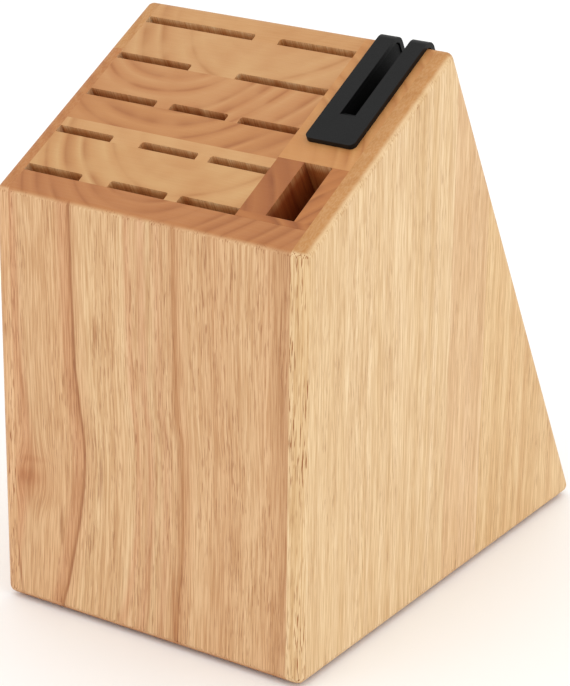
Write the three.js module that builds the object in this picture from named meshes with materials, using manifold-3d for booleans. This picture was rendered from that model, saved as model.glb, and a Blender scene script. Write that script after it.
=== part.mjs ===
// Knife block: slotted hardwood boards between two side panels, with a well for shears
// and a rolling-wheel sharpener let into the rear corner of the sloping top.
// Millimetres, +Z up. The front faces -Y, and the origin is on the floor below the middle.
import * as THREE from "three";
import { ConvexGeometry } from "three/addons/geometries/ConvexGeometry.js";
import { mergeVertices } from "three/addons/utils/BufferGeometryUtils.js";
import Module from "manifold-3d";

const wasm = await Module();
wasm.setup();

// Whole block
const WIDTH = 150;
const FRONT_HEIGHT = 182; // front face, from the wooden base to the sloping top
const SLOPE_LENGTH = 120.6; // sloping top, from front edge to rear edge
const RAKE = THREE.MathUtils.degToRad(28); // the top slopes and the knives lean back by this
const EDGE_RADIUS = 3.5;
const EDGE_STEPS = 5;
const GLUE_LINE = 0.1; // gap between neighbouring boards

// Panels round the raked stack
const LEFT_PANEL = 7;
const RIGHT_PANEL = 7.2;
const FRONT_PANEL = 10.6;
const LEFT_STAVE_JOINTS = [78, 161]; // glue lines, measured back from the front face
const RIGHT_STAVE_JOINTS = [111, 141];

// Knife slots: grooves in the front face of a board, closed by the board before it
const SLOT_GAP = 3.9;
const SLOT_CORNER = 1.2;
const SLOT_RIB = 6; // wood between the middle and right columns of slots
const STEAK_SLOT = 27.7;
const UTILITY_SLOT = 34.4;
const BONING_SLOT = 36.6;
const SANTOKU_SLOT = 43.4;
const CHEF_SLOT = 54.4;
const LONG_KNIFE_DEPTH = 212;
const STEAK_KNIFE_DEPTH = 130;

// Raked stack
const BACK_BOARD = 14.4;
const THIN_BACKING = 5.2; // wood behind the slots of the thin fourth row board

// Well for shears, in the right-hand column
const WELL_LENGTH = 30.6; // along the slope
const WELL_WIDTH = 12.9;
const WELL_RIGHT_CHEEK = 7.4;
const WELL_FRONT_STRIP = 3.2; // along the slope, from the well to the front panel
const WELL_DEPTH = 150;

// Sharpening wheels and their axle
const AXLE_RADIUS = 1.5;
const AXLE_RUNNING_FIT = 0.08;
const AXLE_SEAT_FIT = 0.03;
const AXLE_END_INSET = 0.5; // below the carrier's sides
const WASHER_THICKNESS = 0.5;
const WHEEL_HUB_WALL = 1.7;
const WHEEL_RADIUS = 8;
const WHEEL_THICKNESS = 3.3;
const WHEEL_RIM = 1.2;
const WHEEL_SIDE_GAP = 0.35;
const WHEEL_FLOOR_GAP = 2;
const WHEEL_COVERAGE = 10; // top of the wheels below the sloping top

// Sharpener's carrier and cover
const CARRIER_WALL = 5.2;
const CARRIER_FLOOR = 3;
const CARRIER_END_WALL = 3.5;
const CARRIER_FIT = 0.3; // gap round the carrier in its pocket
const BRIDGE = 10.9; // wood along the slope between the cover and the well
const COVER_LEFT_MARGIN = 6.1; // wood beside the cover
const COVER_RIGHT_MARGIN = 3.9;
const COVER_LAP = 2.1; // cover beyond the carrier's sides
const COVER_LEG_LAP = 4; // cover's rear leg below the carrier
const COVER_FRONT = 18.5; // from the cover's front end to the blade slot
const COVER_THICKNESS = 2.4;
const COVER_REAR_RADIUS = 5; // outside of the bend over the rear edge
const COVER_CORNER = 2.5;
const COVER_SEAT = 0.2; // gap between the cover and what it lies on
const BLADE_SLOT_WIDTH = 6.9;
const BLADE_SLOT_RAMP = 3;
const BLADE_SLOT_SILL = 6; // slot's lower end above the channel's floor, in the rear leg
const CHANNEL_FRONT_ROOM = 2.1; // channel in front of the blade slot
const ROUND_STEPS = 36;

// Feet
const FOOT_RADIUS = 6.5;
const FOOT_HEIGHT = 1.5;
const FOOT_CHAMFER = 0.5;
const FOOT_SIDE_INSET = 17;
const FOOT_FRONT_INSET = 20;
const FOOT_REAR_INSET = 32;

// Worked out from the sizes above
const BEYOND = 400; // further than any face of the block
const APEX_Y = SLOPE_LENGTH * Math.cos(RAKE);
const APEX_Z = FRONT_HEIGHT + SLOPE_LENGTH * Math.sin(RAKE);
const BASE_DEPTH = APEX_Y + APEX_Z * Math.tan(RAKE);
const TOE_ANGLE = Math.PI / 2 - RAKE; // inside angle at the rear of the base
const DEPTH = BASE_DEPTH - EDGE_RADIUS / Math.tan(TOE_ANGLE / 2) + EDGE_RADIUS;
const STACK_LENGTH = SLOPE_LENGTH - FRONT_PANEL / Math.cos(RAKE);
const CORE_BOARD = (STACK_LENGTH - BACK_BOARD) / 4;
const THIN_BOARD = SLOT_GAP + THIN_BACKING;
const PLAIN_BOARD = CORE_BOARD - THIN_BOARD;
const WELL_FRONT = STACK_LENGTH - WELL_FRONT_STRIP;
const SHARPENER_BLOCK = WELL_FRONT - WELL_LENGTH;
const WHEEL_INNER = WASHER_THICKNESS / 2 + GLUE_LINE; // a wheel's near face from the blade's plane
const WHEEL_OUTER = WHEEL_INNER + WHEEL_THICKNESS;
const WHEEL_DEPTH = WHEEL_COVERAGE + WHEEL_RADIUS; // axle below the sloping top
const COVER_LENGTH = SHARPENER_BLOCK - BRIDGE;
const BLADE_SLOT_LENGTH = COVER_LENGTH - COVER_FRONT; // from the rear face forwards
const CHANNEL_WIDTH = 2 * (WHEEL_OUTER + WHEEL_SIDE_GAP);
const CHANNEL_LENGTH = BLADE_SLOT_LENGTH + CHANNEL_FRONT_ROOM;
const CHANNEL_DEPTH = WHEEL_DEPTH + WHEEL_RADIUS + WHEEL_FLOOR_GAP;
const WHEEL_SETBACK = CHANNEL_LENGTH / 2; // axle forward of the rear face
const BLADE_SLOT_LEG = CHANNEL_DEPTH - BLADE_SLOT_SILL; // down the rear leg
const CARRIER_WIDTH = CHANNEL_WIDTH + 2 * CARRIER_WALL;
const CARRIER_LENGTH = CHANNEL_LENGTH + CARRIER_END_WALL;
const CARRIER_DEPTH = CHANNEL_DEPTH + CARRIER_FLOOR;
const COVER_WIDTH = CARRIER_WIDTH + 2 * COVER_LAP;
const COVER_LEG = CARRIER_DEPTH + COVER_LEG_LAP; // down the rear face
const COLUMN_WIDTH = COVER_LEFT_MARGIN + COVER_WIDTH + COVER_RIGHT_MARGIN;
const CORE_LEFT = -WIDTH / 2 + LEFT_PANEL;
const COLUMN_RIGHT = WIDTH / 2 - RIGHT_PANEL;
const COLUMN_LEFT = COLUMN_RIGHT - COLUMN_WIDTH;
const COVER_MIDDLE = COLUMN_LEFT + COVER_LEFT_MARGIN + COVER_WIDTH / 2;

const wood = (name, color) => new THREE.MeshStandardMaterial({ name, color, roughness: 0.55, metalness: 0 });
const sideWood = wood("side wood", 0xe6bd85);
const frontWood = wood("front wood", 0xe0b078);
const coreWood = wood("core wood", 0xd2a06a);
const darkWood = wood("dark core wood", 0xc28d5a);
const blackPlastic = new THREE.MeshStandardMaterial({ color: 0x2e2e2e, roughness: 0.45, metalness: 0 });
const ceramic = new THREE.MeshStandardMaterial({ color: 0x3a3836, roughness: 0.7, metalness: 0 });
const steel = new THREE.MeshStandardMaterial({ color: 0xb9bbbe, roughness: 0.3, metalness: 1 });
const rubber = new THREE.MeshStandardMaterial({ color: 0x242424, roughness: 0.9, metalness: 0 });

// Closed geometry to solid, solid to named mesh, and a box between two values on each axis
function solid(geometry) {
  const bare = geometry.clone();
  bare.deleteAttribute("normal");
  bare.deleteAttribute("uv");
  const merged = mergeVertices(bare, 1e-4);
  const vertProperties = new Float32Array(merged.attributes.position.array);
  const triVerts = new Uint32Array(merged.index.array);
  return new wasm.Manifold(new wasm.Mesh({ numProp: 3, vertProperties, triVerts }));
}

function piece(name, body, material) {
  const { vertProperties, triVerts } = body.getMesh();
  const geometry = new THREE.BufferGeometry();
  geometry.setAttribute("position", new THREE.BufferAttribute(vertProperties, 3));
  geometry.setIndex(new THREE.BufferAttribute(triVerts, 1));
  const flat = geometry.toNonIndexed();
  flat.computeVertexNormals();
  const mesh = new THREE.Mesh(flat, material);
  mesh.name = name;
  return mesh;
}

function box([x0, x1], [y0, y1], [z0, z1]) {
  const geometry = new THREE.BoxGeometry(x1 - x0, y1 - y0, z1 - z0);
  return geometry.translate((x0 + x1) / 2, (y0 + y1) / 2, (z0 + z1) / 2);
}

// A box whose faces all stand half a glue line inside the given planes
function board(x, y, z) {
  const half = GLUE_LINE / 2;
  const inside = ([low, high]) => [low + half, high - half];
  return solid(box(inside(x), inside(y), inside(z)));
}

// Prism with a profile in Y and Z, running along X between two values
function sidewaysPrism(shape, [x0, x1]) {
  const geometry = new THREE.ExtrudeGeometry(shape, { depth: x1 - x0, bevelEnabled: false, curveSegments: 10 });
  const axes = new THREE.Matrix4().makeBasis(
    new THREE.Vector3(0, 1, 0),
    new THREE.Vector3(0, 0, 1),
    new THREE.Vector3(1, 0, 0),
  );
  return geometry.applyMatrix4(axes).translate(x0, 0, 0);
}

// Cylinder along X
function rod(radius, [x0, x1], y, z) {
  const geometry = new THREE.CylinderGeometry(radius, radius, x1 - x0, ROUND_STEPS);
  return geometry.rotateZ(Math.PI / 2).translate((x0 + x1) / 2, y, z);
}

// The block's outer form with every edge rounded, y from the front face and z from the base
function outerForm() {
  const corners = [
    new THREE.Vector2(0, 0),
    new THREE.Vector2(BASE_DEPTH, 0),
    new THREE.Vector2(APEX_Y, APEX_Z),
    new THREE.Vector2(0, FRONT_HEIGHT),
  ];
  const outward = (a, b) => new THREE.Vector2(b.y - a.y, a.x - b.x).normalize();
  const points = [];
  corners.forEach((corner, i) => {
    const before = outward(corners[(i + 3) % 4], corner);
    const after = outward(corner, corners[(i + 1) % 4]);
    const inset = EDGE_RADIUS / (1 + before.dot(after));
    const centre = corner.clone().sub(before.clone().add(after).multiplyScalar(inset));
    const turn = Math.acos(before.dot(after));
    for (let j = 0; j <= EDGE_STEPS; j++) {
      const tilt = ((Math.PI / 2) * j) / EDGE_STEPS;
      const reach = EDGE_RADIUS * Math.cos(tilt);
      const across = WIDTH / 2 - EDGE_RADIUS + EDGE_RADIUS * Math.sin(tilt);
      const turns = j === EDGE_STEPS ? 0 : EDGE_STEPS;
      for (let k = 0; k <= turns; k++) {
        const way = before.clone().rotateAround(new THREE.Vector2(), (turn * k) / EDGE_STEPS);
        const point = centre.clone().addScaledVector(way, reach);
        points.push(new THREE.Vector3(across, point.x, point.y));
        points.push(new THREE.Vector3(-across, point.x, point.y));
      }
    }
  });
  return new ConvexGeometry(points);
}

// Upright frame: y from the front face. Raked frame: y from the rear edge, z out of the sloping top.
const rakedToUpright = new THREE.Matrix4().makeRotationX(RAKE).setPosition(0, APEX_Y, APEX_Z);
const uprightToRaked = rakedToUpright.clone().invert();
const uprightForm = solid(outerForm());
const behindFront = box([-BEYOND, BEYOND], [FRONT_PANEL + GLUE_LINE / 2, BEYOND], [-BEYOND, BEYOND]);
const rakedForm = solid(outerForm().applyMatrix4(uprightToRaked)).intersect(
  solid(behindFront.applyMatrix4(uprightToRaked)),
);

// Side panel of three upright staves glued edge to edge
function sidePanel(side, x, joints) {
  const edges = [-BEYOND, ...joints, BEYOND];
  return ["front", "middle", "rear"].map((place, i) => {
    const stave = board(x, [edges[i], edges[i + 1]], [-BEYOND, BEYOND]).intersect(uprightForm);
    return piece(`${side}_panel_${place}_stave`, stave, sideWood);
  });
}

function frontPanel() {
  const panel = board([CORE_LEFT, COLUMN_RIGHT], [-BEYOND, FRONT_PANEL], [-BEYOND, BEYOND]);
  return piece("front_panel", panel.intersect(uprightForm), frontWood);
}

// Raked board between two distances from the rear face, cut off at the outer form
function rakedBoard(x, rear, front) {
  const back = rear === 0 ? BEYOND : -rear;
  return board(x, [-front, back], [-BEYOND, BEYOND]).intersect(rakedForm);
}

// Cutter for one slot: a groove with rounded floor corners in the front face of a board
function slotCutter([x0, x1], front, depth) {
  const floor = SLOT_GAP - SLOT_CORNER;
  const shape = new THREE.Shape();
  shape.moveTo(x0, -GLUE_LINE);
  shape.lineTo(x1, -GLUE_LINE);
  shape.lineTo(x1, floor);
  shape.absarc(x1 - SLOT_CORNER, floor, SLOT_CORNER, 0, Math.PI / 2, false);
  shape.lineTo(x0 + SLOT_CORNER, SLOT_GAP);
  shape.absarc(x0 + SLOT_CORNER, floor, SLOT_CORNER, Math.PI / 2, Math.PI, false);
  const steps = { depth: depth + BEYOND, bevelEnabled: false, curveSegments: 4 };
  return solid(new THREE.ExtrudeGeometry(shape, steps).translate(0, -front, -depth));
}

// Slots keep to three columns: against the left panel, in the middle, and against the right column
const leftSlot = (width) => [CORE_LEFT - SLOT_RIB, CORE_LEFT + width];
const rightSlot = (width) => [COLUMN_LEFT - width, COLUMN_LEFT + SLOT_RIB];
const middleEnd = COLUMN_LEFT - STEAK_SLOT - SLOT_RIB;
const middleSlot = (width) => [middleEnd - width, middleEnd];
const steakRow = [leftSlot(STEAK_SLOT), middleSlot(STEAK_SLOT), rightSlot(STEAK_SLOT)];
const stack = [
  {
    name: "back_board",
    thickness: BACK_BOARD,
    depth: LONG_KNIFE_DEPTH,
    slots: [leftSlot(CHEF_SLOT), rightSlot(BONING_SLOT)],
  },
  {
    name: "second_row_board",
    thickness: CORE_BOARD,
    depth: LONG_KNIFE_DEPTH,
    slots: [leftSlot(BONING_SLOT), rightSlot(SANTOKU_SLOT)],
  },
  {
    name: "third_row_board",
    thickness: CORE_BOARD,
    depth: STEAK_KNIFE_DEPTH,
    slots: [leftSlot(UTILITY_SLOT), middleSlot(STEAK_SLOT), rightSlot(STEAK_SLOT)],
  },
  { name: "plain_board", thickness: PLAIN_BOARD, depth: 0, slots: [] },
  { name: "fourth_row_board", thickness: THIN_BOARD, depth: STEAK_KNIFE_DEPTH, slots: steakRow },
  { name: "fifth_row_board", thickness: CORE_BOARD, depth: STEAK_KNIFE_DEPTH, slots: steakRow },
];

function slottedStack() {
  let rear = 0;
  return stack.map(({ name, thickness, depth, slots }) => {
    const front = rear + thickness;
    let body = rakedBoard([CORE_LEFT, COLUMN_LEFT], rear, front);
    for (const slot of slots) body = body.subtract(slotCutter(slot, front, depth));
    rear = front;
    return piece(name, body, coreWood);
  });
}

// Boards that fill the wedge between the raked stack and the upright front panel
function wedgeBoards() {
  const start = STACK_LENGTH + CORE_BOARD;
  const toe = new THREE.Vector3(0, FRONT_PANEL, 0).applyMatrix4(uprightToRaked);
  const count = Math.max(1, Math.round((-toe.y - start) / CORE_BOARD));
  const each = (-toe.y - start) / count;
  const boards = [
    piece("core_filler", rakedBoard([CORE_LEFT, COLUMN_LEFT], STACK_LENGTH, start), coreWood),
    piece("column_filler", rakedBoard([COLUMN_LEFT, COLUMN_RIGHT], WELL_FRONT, start), darkWood),
  ];
  for (let i = 0; i < count; i++) {
    const body = rakedBoard([CORE_LEFT, COLUMN_RIGHT], start + i * each, start + (i + 1) * each);
    boards.push(piece(`wedge_board_${i + 1}`, body, coreWood));
  }
  return boards;
}

// Two cheeks and a floor that make the well for shears
function shearsWell() {
  const right = COLUMN_RIGHT - WELL_RIGHT_CHEEK;
  const well = [right - WELL_WIDTH, right];
  const between = [-WELL_FRONT, -SHARPENER_BLOCK];
  const floor = board(well, between, [-BEYOND, -WELL_DEPTH]).intersect(rakedForm);
  return [
    piece("well_left_cheek", rakedBoard([COLUMN_LEFT, well[0]], SHARPENER_BLOCK, WELL_FRONT), darkWood),
    piece("well_right_cheek", rakedBoard([well[1], COLUMN_RIGHT], SHARPENER_BLOCK, WELL_FRONT), darkWood),
    piece("well_floor", floor, darkWood),
  ];
}

// Across the block, centred on the cover
const centred = (width) => [COVER_MIDDLE - width / 2, COVER_MIDDLE + width / 2];

// Solid block behind the well, with a pocket open to the top and the rear for the carrier
function sharpenerBlock() {
  const pocket = box(
    centred(CARRIER_WIDTH + 2 * CARRIER_FIT),
    [-CARRIER_LENGTH - CARRIER_FIT, BEYOND],
    [-CARRIER_DEPTH - CARRIER_FIT, BEYOND],
  );
  const body = rakedBoard([COLUMN_LEFT, COLUMN_RIGHT], 0, SHARPENER_BLOCK).subtract(solid(pocket));
  return piece("sharpener_block", body, coreWood);
}

// Angle-shaped cover that lies on the top and folds down over the rear edge
function coverAngle() {
  const outer = COVER_THICKNESS;
  const turn = outer - COVER_REAR_RADIUS;
  const shape = new THREE.Shape();
  shape.moveTo(-COVER_LENGTH, COVER_SEAT);
  shape.lineTo(turn, COVER_SEAT);
  shape.absarc(turn, turn, COVER_SEAT - turn, Math.PI / 2, 0, true);
  shape.lineTo(COVER_SEAT, -COVER_LEG);
  shape.lineTo(outer, -COVER_LEG);
  shape.lineTo(outer, turn);
  shape.absarc(turn, turn, COVER_REAR_RADIUS, 0, Math.PI / 2, false);
  shape.lineTo(-COVER_LENGTH, outer);
  return solid(sidewaysPrism(shape, centred(COVER_WIDTH)));
}

// Outline of the cover with its two far corners rounded, as a plate that reaches beyond the cover
function coverOutline(length) {
  const [x0, x1] = centred(COVER_WIDTH);
  const shape = new THREE.Shape();
  shape.moveTo(x0, BEYOND);
  shape.lineTo(x0, COVER_CORNER - length);
  shape.absarc(x0 + COVER_CORNER, COVER_CORNER - length, COVER_CORNER, Math.PI, 1.5 * Math.PI, false);
  shape.lineTo(x1 - COVER_CORNER, -length);
  shape.absarc(x1 - COVER_CORNER, COVER_CORNER - length, COVER_CORNER, 1.5 * Math.PI, 2 * Math.PI, false);
  shape.lineTo(x1, BEYOND);
  const plate = { depth: 2 * BEYOND, bevelEnabled: false, curveSegments: 6 };
  return new THREE.ExtrudeGeometry(shape, plate).translate(0, 0, -BEYOND);
}

// Blade slot through the cover: a ramp at its front end, open at the rear edge
function bladeSlot() {
  const shape = new THREE.Shape();
  shape.moveTo(-BLADE_SLOT_LENGTH, -BLADE_SLOT_LEG);
  shape.lineTo(BEYOND, -BLADE_SLOT_LEG);
  shape.lineTo(BEYOND, BEYOND);
  shape.lineTo(-BLADE_SLOT_LENGTH - BLADE_SLOT_RAMP, BEYOND);
  shape.lineTo(-BLADE_SLOT_LENGTH - BLADE_SLOT_RAMP, COVER_THICKNESS);
  shape.lineTo(-BLADE_SLOT_LENGTH, COVER_SEAT);
  return solid(sidewaysPrism(shape, centred(BLADE_SLOT_WIDTH)));
}

function sharpenerCover() {
  const topOutline = solid(coverOutline(COVER_LENGTH));
  const legOutline = solid(coverOutline(COVER_LEG).rotateX(Math.PI / 2));
  const body = coverAngle().intersect(topOutline).intersect(legOutline).subtract(bladeSlot());
  return piece("sharpener_cover", body, blackPlastic);
}

// Channel-shaped carrier in the pocket, rounded with the block at the rear edge, with a hole
// through both walls for the axle
function sharpenerCarrier() {
  const body = box(centred(CARRIER_WIDTH), [-CARRIER_LENGTH, -GLUE_LINE], [-CARRIER_DEPTH, -GLUE_LINE]);
  const channel = box(centred(CHANNEL_WIDTH), [-CHANNEL_LENGTH, BEYOND], [-CHANNEL_DEPTH, BEYOND]);
  const hole = rod(AXLE_RADIUS + AXLE_SEAT_FIT, centred(2 * CARRIER_WIDTH), -WHEEL_SETBACK, -WHEEL_DEPTH);
  const carrier = solid(body).intersect(rakedForm).subtract(solid(channel)).subtract(solid(hole));
  return piece("sharpener_carrier", carrier, blackPlastic);
}

function wheelAxle() {
  const axle = rod(AXLE_RADIUS, centred(CARRIER_WIDTH - 2 * AXLE_END_INSET), -WHEEL_SETBACK, -WHEEL_DEPTH);
  return piece("wheel_axle", solid(axle), steel);
}

// Ring turned about the axle from a profile of [radius, distance to one side of the blade's plane]
function turnedRing(name, profile, side, material) {
  const points = [...profile, profile[0]].map(([radius, out]) => new THREE.Vector2(radius, out));
  const geometry = new THREE.LatheGeometry(points, ROUND_STEPS).rotateZ(-Math.PI / 2);
  if (side < 0) geometry.rotateY(Math.PI);
  geometry.translate(COVER_MIDDLE, -WHEEL_SETBACK, -WHEEL_DEPTH);
  return piece(name, solid(geometry), material);
}

// Two dished wheels that face each other and leave a V for the blade, with a washer between
function sharpeningWheels() {
  const bore = AXLE_RADIUS + AXLE_RUNNING_FIT;
  const hub = bore + WHEEL_HUB_WALL;
  const half = WASHER_THICKNESS / 2;
  const dish = [
    [bore, WHEEL_INNER],
    [hub, WHEEL_INNER],
    [WHEEL_RADIUS, WHEEL_OUTER - WHEEL_RIM],
    [WHEEL_RADIUS, WHEEL_OUTER],
    [bore, WHEEL_OUTER],
  ];
  const washer = [
    [bore, -half],
    [hub, -half],
    [hub, half],
    [bore, half],
  ];
  return [
    turnedRing("sharpening_wheel_left", dish, -1, ceramic),
    turnedRing("sharpening_wheel_right", dish, 1, ceramic),
    turnedRing("wheel_washer", washer, 1, steel),
  ];
}

// Stick-on pads under the corners of the base
function feet() {
  const profile = [
    [0, -FOOT_HEIGHT],
    [FOOT_RADIUS - FOOT_CHAMFER, -FOOT_HEIGHT],
    [FOOT_RADIUS, FOOT_CHAMFER - FOOT_HEIGHT],
    [FOOT_RADIUS, -GLUE_LINE],
    [0, -GLUE_LINE],
  ].map(([radius, height]) => new THREE.Vector2(radius, height));
  const pad = new THREE.LatheGeometry(profile, ROUND_STEPS).rotateX(Math.PI / 2);
  const pads = [];
  for (const [side, across] of Object.entries({ left: -1, right: 1 }))
    for (const [end, y] of Object.entries({ front: FOOT_FRONT_INSET, rear: BASE_DEPTH - FOOT_REAR_INSET })) {
      const foot = piece(`foot_${end}_${side}`, solid(pad), rubber);
      foot.position.set(across * (WIDTH / 2 - FOOT_SIDE_INSET), y, 0);
      pads.push(foot);
    }
  return pads;
}

const raked = new THREE.Group();
raked.rotation.x = RAKE;
raked.position.set(0, APEX_Y, APEX_Z);
raked.add(...slottedStack(), ...wedgeBoards(), ...shearsWell(), sharpenerBlock());
raked.add(sharpenerCover(), sharpenerCarrier(), wheelAxle(), ...sharpeningWheels());

const knifeBlock = new THREE.Group();
knifeBlock.position.set(0, -DEPTH / 2, FOOT_HEIGHT);
knifeBlock.add(...sidePanel("left", [-BEYOND, CORE_LEFT], LEFT_STAVE_JOINTS));
knifeBlock.add(...sidePanel("right", [COLUMN_RIGHT, BEYOND], RIGHT_STAVE_JOINTS));
knifeBlock.add(frontPanel(), ...feet(), raked);

export default knifeBlock;
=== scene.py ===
import math

import bmesh
import bpy
from mathutils import Matrix, Vector


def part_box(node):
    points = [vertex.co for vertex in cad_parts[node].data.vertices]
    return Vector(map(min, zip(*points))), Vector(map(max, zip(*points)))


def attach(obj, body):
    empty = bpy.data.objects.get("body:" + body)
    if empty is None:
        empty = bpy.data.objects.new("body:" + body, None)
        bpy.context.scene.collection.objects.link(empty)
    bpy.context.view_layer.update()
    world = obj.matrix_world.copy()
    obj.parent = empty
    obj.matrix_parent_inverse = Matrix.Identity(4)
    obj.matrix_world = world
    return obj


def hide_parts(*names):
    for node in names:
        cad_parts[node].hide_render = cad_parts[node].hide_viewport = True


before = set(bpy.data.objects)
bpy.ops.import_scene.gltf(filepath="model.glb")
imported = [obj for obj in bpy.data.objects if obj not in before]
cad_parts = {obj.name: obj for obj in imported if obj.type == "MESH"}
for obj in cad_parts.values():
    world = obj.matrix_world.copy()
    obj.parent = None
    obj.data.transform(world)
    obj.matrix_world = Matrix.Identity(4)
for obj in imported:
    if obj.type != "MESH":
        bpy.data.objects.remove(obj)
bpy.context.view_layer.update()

# ---------------------------------------------------------------- studio
# A wide floor of matt white paper under an even white surround, with one large soft box on
# the right and a weaker one in front, and the camera before the block's right-hand corner.

MM = 0.001


def srgb(code):
    """A colour written as sRGB hex, in the linear values that a shader takes."""
    parts = [int(code[i : i + 2], 16) / 255 for i in (1, 3, 5)]
    linear = [p / 12.92 if p <= 0.04045 else ((p + 0.055) / 1.055) ** 2.4 for p in parts]
    return (*linear, 1.0)


def add(tree, kind, inputs=None, stops=(), **settings):
    """One node with its settings and its ramp's stops. An input is a value, a socket or a node."""
    made = tree.nodes.new(kind)
    for name, value in settings.items():
        setattr(made, name, value)
    for name, value in (inputs or {}).items():
        named = [socket for socket in made.inputs if socket.enabled and socket.name == name]
        socket = made.inputs[name] if isinstance(name, int) else named[0]
        if isinstance(value, bpy.types.Node):
            value = next(output for output in value.outputs if output.enabled)
        if isinstance(value, bpy.types.NodeSocket):
            tree.links.new(value, socket)
        else:
            socket.default_value = value
    for i, (place, colour) in enumerate(stops):
        elements = made.color_ramp.elements
        stop = elements[i] if i < 2 else elements.new(place)
        stop.position = place
        stop.color = srgb(colour) if isinstance(colour, str) else (colour, colour, colour, 1)
    return made


def new_material(name):
    """An empty material and its node tree."""
    material = bpy.data.materials.new(name)
    material.use_nodes = True
    material.node_tree.nodes.clear()
    return material, material.node_tree


def look_along(azimuth, elevation, roll):
    """Turns an object whose -Z looks forward, so that it looks along an azimuth and down."""
    turn = Matrix.Rotation(math.radians(azimuth), 3, "Z")
    tilt = Matrix.Rotation(math.radians(90 - elevation), 3, "X")
    return (turn @ tilt @ Matrix.Rotation(math.radians(roll), 3, "Z")).to_euler()


camera = bpy.data.objects.new("camera", bpy.data.cameras.new("camera"))
bpy.context.scene.collection.objects.link(camera)
bpy.context.scene.camera = camera
camera.rotation_euler = look_along(33.18, 21.08, 0.66)
camera.location = Vector((549.9, -855.9, 487.8)) * MM
camera.data.lens = 131.2
camera.data.clip_start = 0.05

reach = 3.0
corners = [(-reach, -reach, 0), (reach, -reach, 0), (reach, reach, 0), (-reach, reach, 0)]
floor_mesh = bpy.data.meshes.new("studio_floor")
floor_mesh.from_pydata(corners, [], [(0, 1, 2, 3)])
floor = bpy.data.objects.new("studio_floor", floor_mesh)
bpy.context.scene.collection.objects.link(floor)
material, tree = new_material("matt white paper")
paper = add(
    tree,
    "ShaderNodeBsdfPrincipled",
    {"Base Color": srgb("#fdfdfc"), "Roughness": 0.95, "Specular IOR Level": 0.1},
)
add(tree, "ShaderNodeOutputMaterial", {"Surface": paper})
floor_mesh.materials.append(material)

world = bpy.data.worlds.new("white surround")
bpy.context.scene.world = world
world.use_nodes = True
world.node_tree.nodes["Background"].inputs["Color"].default_value = srgb("#ffffff")
world.node_tree.nodes["Background"].inputs["Strength"].default_value = 1.09


def soft_box(name, place, size, power):
    """A square area light, placed and sized in metres, that faces the middle of the block."""
    light = bpy.data.lights.new(name, "AREA")
    light.shape = "SQUARE"
    light.size = size
    light.energy = power
    lamp = bpy.data.objects.new(name, light)
    bpy.context.scene.collection.objects.link(lamp)
    lamp.location = place
    middle = Vector((0, 0, 0.12))
    lamp.rotation_euler = (Vector(place) - middle).to_track_quat("Z", "Y").to_euler()


soft_box("key soft box", (1.5, -0.5, 1.3), 1.0, 2.5)
soft_box("front soft box", (-0.4, -1.7, 1.2), 1.2, 1.8)

bpy.context.scene.view_settings.view_transform = "Standard"

# ---------------------------------------------------------------- front panel
# One flat-sawn rubberwood board, planed, sanded and wiped with satin lacquer, is let in between
# the side panels. A brown growth line runs down its left part and swells round a small knot;
# softer lines follow it, and its end grain is the dark strip along the front of the top.

GLUE_LINE = 0.1 * MM
TOUCHING = 0.01 * MM  # points closer than this to a plane lie in it
CLEAR_ANGLE = math.radians(32)  # faces that meet at more than this meet in a sharp edge
block_points = [v.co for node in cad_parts.values() for v in node.data.vertices]
across = Vector((1, 0, 0))
back = Vector((0, 1, 0))
UPRIGHT_SIDES = (across, -across, back, -back)

# An upright board's own axes start at the foot of the front face: X across, Y back and Z along
# the grain, without any turn
front_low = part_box("front_panel")[0]
UPRIGHT = (Vector((0, front_low[1], front_low[2])) / MM, (0, 0, 0))
FRONT_HEIGHT = 182.0


def streaks(tree, place, across, along, detail=2.0):
    """Noise in streaks of a given width and length, in millimetres along the grain."""
    size = (1 / across, 1 / across, 1 / along)
    stretched = add(tree, "ShaderNodeVectorMath", {0: place, 1: size}, operation="MULTIPLY")
    return add(tree, "ShaderNodeTexNoise", {"Vector": stretched, "Scale": 1.0, "Detail": detail})


def tinted(tree, colour, code, amount):
    """A colour multiplied by another one, by a given amount."""
    dyed = {0: colour, 1: srgb(code)[:3]}
    dyed = add(tree, "ShaderNodeVectorMath", dyed, operation="MULTIPLY")
    mixed = {"Factor": amount, "A": colour, "B": dyed}
    return add(tree, "ShaderNodeMix", mixed, data_type="RGBA")


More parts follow.
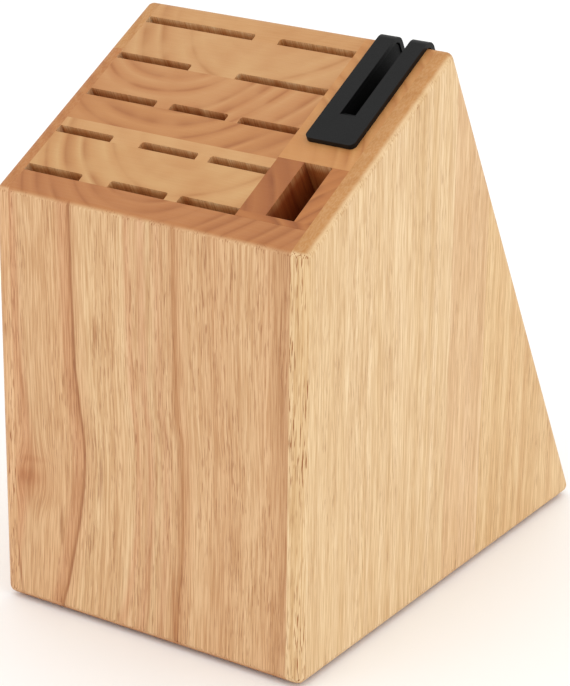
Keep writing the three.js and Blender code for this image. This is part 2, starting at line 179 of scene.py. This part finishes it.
def growth_rings(pith, pitch, calm, pale, tan, late):
    """Rings about a pith at (x, y), in threes of uneven width, faint inside the calm radius."""

    def figure(tree, place):
        arm = add(tree, "ShaderNodeVectorMath", {0: place, 1: (*pith, 0)}, operation="SUBTRACT")
        flat = add(tree, "ShaderNodeVectorMath", {0: arm, 1: (1, 1, 0)}, operation="MULTIPLY")
        radius = add(tree, "ShaderNodeVectorMath", {0: flat}, operation="LENGTH").outputs["Value"]
        years = add(tree, "ShaderNodeMath", {0: radius, 1: 3 * pitch}, operation="DIVIDE")
        year = add(tree, "ShaderNodeMath", {0: years}, operation="FRACT")
        shades = [(0, pale), (0.08, tan), (0.21, late), (0.26, tan), (0.33, pale), (0.45, tan)]
        shades += [(0.5, late), (0.54, tan), (0.64, pale), (0.84, tan), (0.93, late), (1, pale)]
        rings = add(tree, "ShaderNodeValToRGB", {"Fac": year}, stops=shades)
        bands = streaks(tree, place, 26, 400)
        ground = add(tree, "ShaderNodeValToRGB", {"Fac": bands}, stops=[(0.3, pale), (0.72, tan)])

        # A span is a value, the range that it comes from and the range that it is eased to
        span = {0: streaks(tree, place, 17, 300, 1.0), 1: 0.35, 2: 0.65, 3: 0.3, 4: 1}
        patchy = add(tree, "ShaderNodeMapRange", span, interpolation_type="SMOOTHSTEP")
        span = {0: radius, 1: calm * 0.8, 2: calm * 1.1, 3: 0.12, 4: 0.85}
        shown = add(tree, "ShaderNodeMapRange", span, interpolation_type="SMOOTHSTEP")
        shown = add(tree, "ShaderNodeMath", {0: shown, 1: patchy}, operation="MULTIPLY")
        mixed = {"Factor": shown, "A": ground, "B": rings}
        return add(tree, "ShaderNodeMix", mixed, data_type="RGBA"), place

    return figure


def rubberwood(name, board, figure, seed, look, end_figure=None):
    """Lacquered rubberwood for one board: its figure, fibres, pores, end grain and the painted shade
    on the walls of its slots.
    A look holds the tints of its fibres, bands and ends and of the painted wall shade, how dark its
    pores are, how far round an end the end grain shows, how far down the walls the painted shade goes
    on darkening, how far back the pores are torn open, and how far a belt line runs across the board
    and back."""
    material, tree = new_material(name)
    origin, turn = board
    coordinates = add(tree, "ShaderNodeTexCoord")
    metres = coordinates.outputs["Object"]
    scaled_up = add(tree, "ShaderNodeVectorMath", {0: metres, "Scale": 1 / MM}, operation="SCALE")
    own_axes = {"Vector": scaled_up, "Location": origin, "Rotation": turn}
    place = add(tree, "ShaderNodeMapping", own_axes, vector_type="TEXTURE")
    axis = Vector((0, 0, 1))
    axis.rotate(Matrix.Rotation(turn[0], 3, "X"))
    facing = {0: coordinates.outputs["Normal"], 1: axis}
    facing = add(tree, "ShaderNodeVectorMath", facing, operation="DOT_PRODUCT").outputs["Value"]
    facing = add(tree, "ShaderNodeMath", {0: facing}, operation="ABSOLUTE")
    span = {0: facing, 1: look["turn"], 2: 0.84, 3: 0, 4: 1}
    end = add(tree, "ShaderNodeMapRange", span, interpolation_type="SMOOTHSTEP")

    # The rings wander by a few millimetres along the board
    wander = streaks(tree, place, 60, 260, 0.0)
    centred = {0: wander.outputs["Color"], 1: (0.5, 0.5, 0.5)}
    centred = add(tree, "ShaderNodeVectorMath", centred, operation="SUBTRACT")
    drift = add(tree, "ShaderNodeVectorMath", {0: centred, "Scale": 9.0}, operation="SCALE")
    bent = add(tree, "ShaderNodeVectorMath", {0: place, 1: drift})
    colour, flow = figure(tree, bent)
    if end_figure:
        mixed = {"Factor": end, "A": colour, "B": end_figure(tree, bent)[0]}
        colour = add(tree, "ShaderNodeMix", mixed, data_type="RGBA")
    sample = add(tree, "ShaderNodeVectorMath", {0: flow, 1: (31 * seed, 17 * seed, 53 * seed)})

    # Bundles of fibres, and vessels that planing opens into pores: both are 0.1 to 0.3 mm wide
    # in real rubberwood, and drawn two to three times as wide so that they show
    span = {0: facing, 1: 0.15, 2: 0.55, 3: 1, 4: 0}
    along = add(tree, "ShaderNodeMapRange", span, interpolation_type="SMOOTHSTEP")
    fibres = streaks(tree, sample, 0.5, 24, 2.5)
    broad = streaks(tree, sample, 3.2, 170, 2.0)
    for noise, code in ((fibres, look["fibre"]), (broad, look["band"])):
        span = {0: noise, 1: 0.36, 2: 0.64, 3: -0.5, 4: 0.5}
        swing = add(tree, "ShaderNodeMapRange", span, interpolation_type="SMOOTHSTEP")
        amount = {0: swing, 1: along, 2: 0.5}
        amount = add(tree, "ShaderNodeMath", amount, operation="MULTIPLY_ADD")
        colour = tinted(tree, colour, code, amount)
    span = {0: streaks(tree, sample, 7, 60, 1.0), 1: 0.38, 2: 0.62, 3: 0.25, 4: 1}
    patches = add(tree, "ShaderNodeMapRange", span, interpolation_type="SMOOTHSTEP")
    span = {0: streaks(tree, sample, 0.42, 8, 1.0), 1: 0.55, 2: 0.68, 3: 0, 4: 1}
    pores = add(tree, "ShaderNodeMapRange", span, interpolation_type="SMOOTHSTEP")
    pores = add(tree, "ShaderNodeMath", {0: pores, 1: patches}, operation="MULTIPLY")

    # They open widest where the rounding of an end starts, and hardly show on the end itself
    depth = [(0, look["pore"]), (0.06, look["pore"]), (0.2, 1.0), (0.5, 0.5), (0.8, 0.06)]
    depth = add(tree, "ShaderNodeValToRGB", {"Fac": facing}, stops=depth)
    sunk = add(tree, "ShaderNodeMath", {0: pores, 1: depth}, operation="MULTIPLY")
    if "open" in look:
        back = add(tree, "ShaderNodeSeparateXYZ", {0: place}).outputs["Y"]
        span = {0: back, 1: look["open"] * 0.4, 2: look["open"], 3: 3.4, 4: 1}
        near = add(tree, "ShaderNodeMapRange", span, interpolation_type="SMOOTHSTEP")
        sunk = {0: sunk, 1: near}
        sunk = add(tree, "ShaderNodeMath", sunk, operation="MULTIPLY", use_clamp=True)
    colour = tinted(tree, colour, "#b58963", sunk)

    # The sanding belt leaves faint lines on the end grain, which drinks more lacquer
    line_across, line_back = look.get("belt", (14, 0.7))
    size = (1 / line_across, 1 / line_back, 1 / 0.7)
    belt = add(tree, "ShaderNodeVectorMath", {0: place, 1: size}, operation="MULTIPLY")
    belt = add(tree, "ShaderNodeTexNoise", {"Vector": belt, "Scale": 1.0, "Detail": 2.0})
    span = {0: belt, 1: 0.35, 2: 0.65, 3: 0.82, 4: 1}
    lines = add(tree, "ShaderNodeMapRange", span, interpolation_type="SMOOTHSTEP")
    lines = add(tree, "ShaderNodeMath", {0: lines, 1: end}, operation="MULTIPLY")
    colour = tinted(tree, colour, look["end"], lines)

    # Painted shade: the walls of slots and pockets are darkened to a deeper brown, the more the
    # further below the top they go
    if "cut" in look:
        parts = add(tree, "ShaderNodeSeparateXYZ", {0: place})
        span = {0: parts.outputs["Z"], 1: -look["wall_shade_depth"], 2: -0.2, 3: 1, 4: 0}
        below = add(tree, "ShaderNodeMapRange", span, interpolation_type="SMOOTHSTEP")
        span = {0: parts.outputs["Y"], 1: -1.4, 2: -0.6, 3: 1, 4: 0}
        inside = add(tree, "ShaderNodeMapRange", span, interpolation_type="SMOOTHSTEP")
        cut = add(tree, "ShaderNodeMath", {0: below, 1: inside}, operation="MULTIPLY")
        cut = add(tree, "ShaderNodeMath", {0: cut, 1: along}, operation="MULTIPLY")
        colour = tinted(tree, colour, look["cut"], cut)

    height = add(tree, "ShaderNodeMath", {0: fibres, 1: pores}, operation="SUBTRACT")
    bump = add(tree, "ShaderNodeBump", {"Height": height, "Strength": 0.3, "Distance": 0.05 * MM})
    span = {0: fibres, 1: 0.2, 2: 0.8, 3: 0.58, 4: 0.48}
    sheen = add(tree, "ShaderNodeMapRange", span, interpolation_type="SMOOTHSTEP")
    surface = add(
        tree,
        "ShaderNodeBsdfPrincipled",
        {
            "Base Color": colour,
            "Roughness": sheen,
            "Normal": bump,
            "Specular IOR Level": 0.3,
            "Coat Weight": 0.05,
            "Coat Roughness": 0.4,
        },
    )
    add(tree, "ShaderNodeOutputMaterial", {"Surface": surface})
    return material


def finished(name, material, picked=None, ease=0.0, body="block", glued=()):
    """A node's solid with its facets joined and its roundings smooth. Its glued faces come up
    to the middle of the glue line, and its picked edges are eased by so many millimetres."""
    mesh = bmesh.new()
    mesh.from_mesh(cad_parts[name].data)
    bmesh.ops.remove_doubles(mesh, verts=mesh.verts, dist=0.002 * MM)
    flat = math.radians(0.2)
    bmesh.ops.dissolve_limit(mesh, angle_limit=flat, verts=mesh.verts, edges=mesh.edges)
    for direction in glued:
        face = max(vert.co.dot(direction) for vert in mesh.verts)
        outside = max(point.dot(direction) for point in block_points)
        if face > outside - 0.5 * MM:
            continue
        for vert in mesh.verts:
            if vert.co.dot(direction) > face - TOUCHING:
                vert.co += direction * (GLUE_LINE / 2)
    edges = [edge for edge in mesh.edges if picked and picked(edge)]
    if edges:
        eased = {"offset": ease * MM, "segments": 3, "profile": 0.5, "clamp_overlap": True}
        bmesh.ops.bevel(mesh, geom=edges, affect="EDGES", **eased)
    data = bpy.data.meshes.new(f"{name}_finished")
    mesh.to_mesh(data)
    mesh.free()
    data.shade_smooth()
    data.set_sharp_from_angle(angle=CLEAR_ANGLE)
    data.materials.append(material)
    piece = bpy.data.objects.new(f"{name}_finished", data)
    bpy.context.scene.collection.objects.link(piece)
    piece.modifiers.new("flat faces stay flat", "WEIGHTED_NORMAL").keep_sharp = True
    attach(piece, body)
    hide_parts(name)
    return piece


def stain(tree, place, centre, radii, lean=0.0):
    """A soft elongated mark in the wood at (x, z), leaning by so much across for each unit up."""
    parts = add(tree, "ShaderNodeSeparateXYZ", {0: place})
    up = add(tree, "ShaderNodeMath", {0: parts.outputs["Z"], 1: centre[1]}, operation="SUBTRACT")
    side = add(tree, "ShaderNodeMath", {0: parts.outputs["X"], 1: centre[0]}, operation="SUBTRACT")
    leant = add(tree, "ShaderNodeMath", {0: up, 1: -lean, 2: side}, operation="MULTIPLY_ADD")
    wide = add(tree, "ShaderNodeMath", {0: leant, 1: radii[0]}, operation="DIVIDE")
    tall = add(tree, "ShaderNodeMath", {0: up, 1: radii[1]}, operation="DIVIDE")
    across = add(tree, "ShaderNodeCombineXYZ", {"X": wide, "Y": tall})
    away = add(tree, "ShaderNodeVectorMath", {0: across}, operation="LENGTH").outputs["Value"]
    span = {0: away, 1: 0.1, 2: 1.5, 3: 1, 4: 0}
    return add(tree, "ShaderNodeMapRange", span, interpolation_type="SMOOTHSTEP")


def front_figure(tree, place):
    """The front board's lines, drawn across a width that bends with the height."""
    parts = add(tree, "ShaderNodeSeparateXYZ", {0: place})
    x = parts.outputs["X"]
    height = add(tree, "ShaderNodeMath", {0: parts.outputs["Z"], 1: FRONT_HEIGHT}, operation="DIVIDE")

    # Round the knot the grain opens out like a lens
    knot = stain(tree, place, (-61, 58), (11, 15))
    apart = add(tree, "ShaderNodeMath", {0: x, 1: 61.0}, operation="ADD")
    apart = add(tree, "ShaderNodeMath", {0: apart, 1: knot}, operation="MULTIPLY")
    x = add(tree, "ShaderNodeMath", {0: apart, 1: -0.6, 2: x}, operation="MULTIPLY_ADD")

    # How far the lines lean out of true at each height: 20 mm from black to white, 0.5 is none
    swell = [(0, 0.12), (0.07, 0.3), (0.2, 0.58), (0.31, 0.74)]
    swell += [(0.4, 0.8), (0.5, 0.66), (0.62, 0.5), (1, 0.46)]
    kink = [(0, 0.45), (0.2, 0.62), (0.5, 0.7), (0.56, 0.5), (0.7, 0.52), (1, 0.5)]
    left_bend = add(tree, "ShaderNodeValToRGB", {"Fac": height}, stops=swell)
    right_bend = add(tree, "ShaderNodeValToRGB", {"Fac": height}, stops=kink)
    left_bend.color_ramp.interpolation = "B_SPLINE"
    right_bend.color_ramp.interpolation = "B_SPLINE"
    span = {0: x, 1: -22, 2: 6, 3: 0, 4: 1}
    fade = add(tree, "ShaderNodeMapRange", span, interpolation_type="SMOOTHSTEP")
    bends = {"Factor": fade, "A": left_bend, "B": right_bend}
    bend = add(tree, "ShaderNodeMix", bends, data_type="RGBA")
    lean = add(tree, "ShaderNodeMath", {0: bend, 1: 0.5}, operation="SUBTRACT")
    straight = add(tree, "ShaderNodeMath", {0: lean, 1: -20.0, 2: x}, operation="MULTIPLY_ADD")
    across = add(tree, "ShaderNodeMath", {0: straight, 1: 75.0}, operation="ADD")
    share = add(tree, "ShaderNodeMath", {0: across, 1: 150.0}, operation="DIVIDE")
    lines = [
        (-75, "#dcb083"),
        (-68, "#d5a479"),
        (-64, "#deb88c"),
        (-46, "#dcb386"),
        (-42.5, "#d4a479"),
        (-39.0, "#d09e72"),
        (-38.3, "#b07b50"),
        (-37.6, "#b07b50"),
        (-36.9, "#dcb387"),
        (-30, "#e2bf92"),
        (-18, "#deb88b"),
        (-11, "#e2c094"),
        (-8.5, "#d9ac82"),
        (-5.5, "#e0bb8f"),
        (-1.5, "#d6a980"),
        (1.5, "#e0be92"),
        (6, "#d8ad83"),
        (9.5, "#ddb78b"),
        (12.5, "#cfa377"),
        (14, "#c08e60"),
        (15.2, "#d6aa7e"),
        (21, "#e0bb8f"),
        (34, "#dbb286"),
        (48, "#e0bb8f"),
        (58, "#dbb286"),
        (63, "#cda175"),
        (66, "#cfa378"),
        (69, "#dcb589"),
    ]
    stops = [((offset + 75) / 150, code) for offset, code in lines]
    colour = add(tree, "ShaderNodeValToRGB", {"Fac": share}, stops=stops)

    marks = [
        ((-61, 58), (12, 15), 0.1, 0.42, "#c07d49"),
        ((-63, 58), (8, 3.5), 0.0, 0.35, "#a9622f"),
        ((-60, 66), (7, 1.6), 0.0, 0.2, "#a9622f"),
        ((-69, 26), (1.0, 26), -0.13, 0.8, "#a86b3d"),
        ((-26, 126), (1.3, 8), 0.0, 0.5, "#b07443"),
        ((-24.3, 62), (1.2, 11), 0.03, 0.6, "#a46b40"),
        ((-5.5, 112), (1.7, 8), 0.0, 0.5, "#b87c4a"),
        ((13, 14), (1.6, 22), -0.05, 0.5, "#b87d4f"),
        ((-45, 40), (0.9, 9), 0.0, 0.5, "#a97247"),
    ]
    for centre, radii, lean, depth, code in marks:
        mask = stain(tree, place, centre, radii, lean)
        strength = add(tree, "ShaderNodeMath", {0: mask, 1: depth}, operation="MULTIPLY")
        mixed = {"Factor": strength, "A": colour, "B": srgb(code)}
        colour = add(tree, "ShaderNodeMix", mixed, data_type="RGBA")
    between = add(tree, "ShaderNodeMix", {"Factor": 0.25, "A": x, "B": straight})
    flow = {"X": between, "Y": parts.outputs["Y"], "Z": parts.outputs["Z"]}
    return colour, add(tree, "ShaderNodeCombineXYZ", flow)


front_look = {"turn": 0.25, "fibre": "#e3d4c5", "band": "#f7f3ef", "pore": 0.55, "end": "#f3e3c9"}
strip_figure = growth_rings((-12, 47), 6.5, 20, "#ca9566", "#c28a5c", "#b1784a")
front_wood = rubberwood(
    "lacquered rubberwood, front board", UPRIGHT, front_figure, 1, front_look, strip_figure
)
finished("front_panel", front_wood, glued=UPRIGHT_SIDES)

# ---------------------------------------------------------------- side panels
# Each side is three upright staves glued edge to edge and sanded as one, so that every stave
# keeps its own tint and its rings cross the face as straight lines.

stave_looks = {
    "right_panel_front_stave": ((190, -60), 7.5, "#eed2a8", "#eacc9e", "#e1bf8e", 2),
    "right_panel_middle_stave": ((160, 60), 9.0, "#ebcba2", "#e6c395", "#dcb586", 3),
    "right_panel_rear_stave": ((180, 260), 11.0, "#eccea0", "#e6c493", "#e0b988", 4),
    "left_panel_front_stave": ((-170, -80), 8.0, "#e4bd91", "#deb286", "#d2a476", 5),
    "left_panel_middle_stave": ((-200, 40), 9.5, "#eed3aa", "#e9ca9d", "#ddb989", 6),
    "left_panel_rear_stave": ((-150, 280), 7.0, "#eacba0", "#e3bf90", "#d7ad7d", 7),
}
for name, (pith, pitch, pale, tan, late, seed) in stave_looks.items():
    figure = growth_rings(pith, pitch, 40, pale, tan, late)
    look = {"turn": 0.5, "fibre": "#e7dacb", "band": "#f6f1eb", "pore": 0.42, "end": "#d6b287"}
    look["belt"] = (0.7, 14)
    if "front" in name:
        look["open"] = 5.0
    words = name.replace("_", " ")
    wood = rubberwood(f"lacquered rubberwood, {words}", UPRIGHT, figure, seed, look)
    finished(name, wood, glued=UPRIGHT_SIDES)

# ---------------------------------------------------------------- raked stack
# Boards that lie along the knives and show their end grain on the sloping top. Each row of
# slots is machined into the front of a board before the next one is glued on. The end grain
# drinks the lacquer, turns darker and redder, and shows the growth rings as arcs.

RAKE = math.radians(28)  # the raked boards, like the knives, lean back by this
up_rake = Vector((0, -math.sin(RAKE), math.cos(RAKE)))  # out of the sloping top
back_rake = Vector((0, math.cos(RAKE), math.sin(RAKE)))  # from the front edge to the rear
RAKED_SIDES = (across, -across, back_rake, -back_rake)
back_board_points = [v.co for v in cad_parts["back_board"].data.vertices]
TOP_PLANE = max(point.dot(up_rake) for point in back_board_points)
REAR_PLANE = max(point.dot(back_rake) for point in back_board_points)

# A raked board's own axes start from the top's rear edge and lean back with the grain
RAKED = ((up_rake * TOP_PLANE + back_rake * REAR_PLANE) / MM, (RAKE, 0, 0))


def slot_mouths(name):
    """A test for the edges of a board's grooves where they open in the sloping top."""
    low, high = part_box(name)
    depths = [vert.co.dot(back_rake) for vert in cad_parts[name].data.vertices]
    front, rear = min(depths), max(depths)
    margin = 0.3 * MM

    def opens(edge):
        if any(abs(vert.co.dot(up_rake) - TOP_PLANE) > TOUCHING for vert in edge.verts):
            return False
        sides = [face for face in edge.link_faces if abs(face.normal.dot(up_rake)) < 0.9]
        if len(edge.link_faces) != 2 or not sides:
            return False
        middle = (edge.verts[0].co + edge.verts[1].co) / 2
        inside_width = low[0] + margin < middle.x < high[0] - margin
        return inside_width and front + margin < middle.dot(back_rake) < rear - margin

    return opens


stack_looks = {
    "back_board": ((-5, 7), 9.0, 60, "#e7c799", "#dcb483", "#c89a6a", 11),
    "second_row_board": ((-5, 7), 10.0, 44, "#e0be91", "#d4a879", "#bc8956", 12),
    "third_row_board": ((-42, -10), 9.2, 34, "#d9af81", "#cc9868", "#b37948", 13),
    "plain_board": ((-32, -8), 9.0, 30, "#d4a472", "#c79260", "#af7546", 14),
    "fourth_row_board": ((-2, -62), 11.0, 60, "#e1bf91", "#d8ad7d", "#c49463", 15),
    "fifth_row_board": ((-2, -62), 9.5, 44, "#e1c192", "#d4a877", "#ba8553", 16),
    "core_filler": ((-10, -90), 9.0, 40, "#dab181", "#cf9f6e", "#b7804f", 17),
    "wedge_board_1": ((-20, -180), 9.0, 40, "#dcb584", "#d1a271", "#b98351", 18),
    "wedge_board_2": ((15, -170), 8.5, 40, "#dab181", "#cf9f6e", "#b7804f", 19),
    "wedge_board_3": ((30, -200), 9.5, 40, "#deb98b", "#d3a674", "#bb8655", 20),
}
for name, (pith, pitch, calm, pale, tan, late, seed) in stack_looks.items():
    figure = growth_rings(pith, pitch, calm, pale, tan, late)
    look = {"turn": 0.5, "fibre": "#ead2bb", "band": "#f3e6da", "pore": 0.4, "end": "#f2ecdd"}
    # The painted shade on the slot walls: its tint, and how far below the top it goes on darkening
    look |= {"cut": "#f5e0c6", "wall_shade_depth": 3.0}
    if name == "back_board":
        look["end"] = "#e8dac5"
    words = name.replace("_", " ")
    wood = rubberwood(f"lacquered rubberwood, {words}", RAKED, figure, seed, look)
    finished(name, wood, slot_mouths(name), 0.3, glued=RAKED_SIDES)

# ---------------------------------------------------------------- shears well
# Two darker cheeks and a floor board make a well for kitchen shears in the right-hand column,
# with a strip of the same darker wood in front.


def well_edges(name):
    """A test for a cheek's long edge over the well."""
    low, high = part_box(name)
    side = high[0] if name == "well_left_cheek" else low[0]

    def over_well(edge):
        if any(abs(vert.co.dot(up_rake) - TOP_PLANE) > TOUCHING for vert in edge.verts):
            return False
        return all(abs(vert.co.x - side) < TOUCHING for vert in edge.verts)

    return over_well


well_looks = {
    "well_left_cheek": ((-40, -140), 8.0, "#bc8556", "#ae7449", "#985f37", 21),
    "well_right_cheek": ((140, -150), 5.5, "#cc9561", "#bd8454", "#a36c40", 22),
    "well_floor": ((50, -140), 6.0, "#bc8556", "#ae7449", "#985f37", 23),
    "column_filler": ((20, -160), 7.0, "#c58f5e", "#b57a4c", "#9f673b", 24),
}
well_look = {"turn": 0.5, "fibre": "#e6cab0", "band": "#f0e0d2", "pore": 0.4, "end": "#f5ebcf"}
# The painted shade down the walls of the well and the pocket: its tint, and how far below the top it
# goes on darkening
well_look |= {"cut": "#d6a67c", "wall_shade_depth": 5.0}
for name, (pith, pitch, pale, tan, late, seed) in well_looks.items():
    figure = growth_rings(pith, pitch, 20, pale, tan, late)
    words = name.replace("_", " ")
    wood = rubberwood(f"lacquered rubberwood, {words}", RAKED, figure, seed, well_look)
    eased = well_edges(name) if "cheek" in name else None
    finished(name, wood, eased, 0.5, glued=RAKED_SIDES)

# ---------------------------------------------------------------- sharpener block
# A light block behind the well, with a pocket routed in from the top and rear for the carrier.

figure = growth_rings((0, -90), 7.0, 60, "#e0b889", "#d5a675", "#c28e5e")
wood = rubberwood("lacquered rubberwood, sharpener block", RAKED, figure, 25, well_look)
finished("sharpener_block", wood, glued=RAKED_SIDES)

# ---------------------------------------------------------------- sharpener cover and carrier
# Both are injection moulded in black nylon with a fine spark-eroded texture: a cover that folds
# over the rear edge, and the channel below it that holds the wheels. It gives a dull, even black.


def sharp_edge(edge):
    """True for an edge between two faces that meet at a clear angle."""
    return len(edge.link_faces) == 2 and edge.calc_face_angle(0) > CLEAR_ANGLE


def moulded_black(name, colour, roughness):
    """Textured black nylon; the texture's 0.1 mm grain is drawn four times as coarse."""
    material, tree = new_material(name)
    coordinates = add(tree, "ShaderNodeTexCoord").outputs["Object"]
    grain = {"Vector": coordinates, "Scale": 1 / (0.4 * MM), "Detail": 2.0}
    grain = add(tree, "ShaderNodeTexNoise", grain)
    cloud = {"Vector": coordinates, "Scale": 1 / (18 * MM), "Detail": 2.0}
    cloud = add(tree, "ShaderNodeTexNoise", cloud)
    span = {0: cloud, 1: 0.3, 2: 0.7, 3: 0.85, 4: 1.2}
    level = add(tree, "ShaderNodeMapRange", span, interpolation_type="SMOOTHSTEP")
    shade = {0: srgb(colour)[:3], "Scale": level}
    shade = add(tree, "ShaderNodeVectorMath", shade, operation="SCALE")
    span = {0: grain, 1: 0.3, 2: 0.7, 3: roughness - 0.06, 4: roughness + 0.06}
    dull = add(tree, "ShaderNodeMapRange", span, interpolation_type="SMOOTHSTEP")
    bump = {"Height": grain, "Strength": 0.25, "Distance": 0.03 * MM}
    bump = add(tree, "ShaderNodeBump", bump)
    surface = add(
        tree,
        "ShaderNodeBsdfPrincipled",
        {"Base Color": shade, "Roughness": dull, "Normal": bump, "Specular IOR Level": 0.19},
    )
    add(tree, "ShaderNodeOutputMaterial", {"Surface": surface})
    return material


cover_nylon = moulded_black("textured black nylon, cover", "#080808", 0.5)
carrier_nylon = moulded_black("textured black nylon, carrier", "#060606", 0.6)
finished("sharpener_cover", cover_nylon, sharp_edge, 0.8)
finished("sharpener_carrier", carrier_nylon, sharp_edge, 0.2)

# ---------------------------------------------------------------- sharpening wheels
# Two sintered ceramic discs, dished towards each other so that the blade runs in a V, turn on
# a ground steel axle with a steel washer between them. Fine grit leaves them dull dark grey;
# the 0.05 mm grit and the 0.02 mm grinding lines are drawn four to five times as coarse.

material, tree = new_material("sintered dark ceramic, fine grit")
coordinates = add(tree, "ShaderNodeTexCoord").outputs["Object"]
grit = {"Vector": coordinates, "Scale": 1 / (0.25 * MM), "Detail": 3.0, "Roughness": 0.7}
grit = add(tree, "ShaderNodeTexNoise", grit)
speckle = [(0.35, "#252321"), (0.6, "#3b3835"), (0.72, "#5a5651")]
speckle = add(tree, "ShaderNodeValToRGB", {"Fac": grit}, stops=speckle)
bump = add(tree, "ShaderNodeBump", {"Height": grit, "Strength": 0.4, "Distance": 0.04 * MM})
surface = {"Base Color": speckle, "Roughness": 0.8, "Normal": bump, "Specular IOR Level": 0.3}
surface = add(tree, "ShaderNodeBsdfPrincipled", surface)
add(tree, "ShaderNodeOutputMaterial", {"Surface": surface})
for name in ("sharpening_wheel_left", "sharpening_wheel_right"):
    finished(name, material, sharp_edge, 0.15, "sharpening_wheels")

material, tree = new_material("ground stainless steel")
coordinates = add(tree, "ShaderNodeTexCoord").outputs["Object"]
stretch = {0: coordinates, 1: (1 / (8 * MM), 1 / (0.08 * MM), 1 / (0.08 * MM))}
stretch = add(tree, "ShaderNodeVectorMath", stretch, operation="MULTIPLY")
scratches = add(tree, "ShaderNodeTexNoise", {"Vector": stretch, "Scale": 1.0, "Detail": 2.0})
span = {0: scratches, 1: 0.3, 2: 0.7, 3: 0.22, 4: 0.4}
polish = add(tree, "ShaderNodeMapRange", span, interpolation_type="SMOOTHSTEP")
bump = add(tree, "ShaderNodeBump", {"Height": scratches, "Strength": 0.2, "Distance": 0.01 * MM})
surface = {"Base Color": srgb("#b9bbbe"), "Metallic": 1.0, "Roughness": polish, "Normal": bump}
surface = add(tree, "ShaderNodeBsdfPrincipled", surface)
add(tree, "ShaderNodeOutputMaterial", {"Surface": surface})
finished("wheel_axle", material, sharp_edge, 0.2)
finished("wheel_washer", material, sharp_edge, 0.05, "sharpening_wheels")

# ---------------------------------------------------------------- feet
# Four round pads of black rubber, stuck on under the corners of the base. They are matt, with
# a faintly mottled skin and a rounded lower edge.

material, tree = new_material("matt black rubber")
coordinates = add(tree, "ShaderNodeTexCoord").outputs["Object"]
skin = {"Vector": coordinates, "Scale": 1 / (0.6 * MM), "Detail": 3.0}
skin = add(tree, "ShaderNodeTexNoise", skin)
mottle = add(tree, "ShaderNodeValToRGB", {"Fac": skin}, stops=[(0.3, "#161616"), (0.7, "#242424")])
bump = add(tree, "ShaderNodeBump", {"Height": skin, "Strength": 0.3, "Distance": 0.05 * MM})
surface = {"Base Color": mottle, "Roughness": 0.88, "Normal": bump, "Specular IOR Level": 0.25}
surface = add(tree, "ShaderNodeBsdfPrincipled", surface)
add(tree, "ShaderNodeOutputMaterial", {"Surface": surface})
for end in ("front", "rear"):
    for side in ("left", "right"):
        finished(f"foot_{end}_{side}", material, sharp_edge, 0.2)
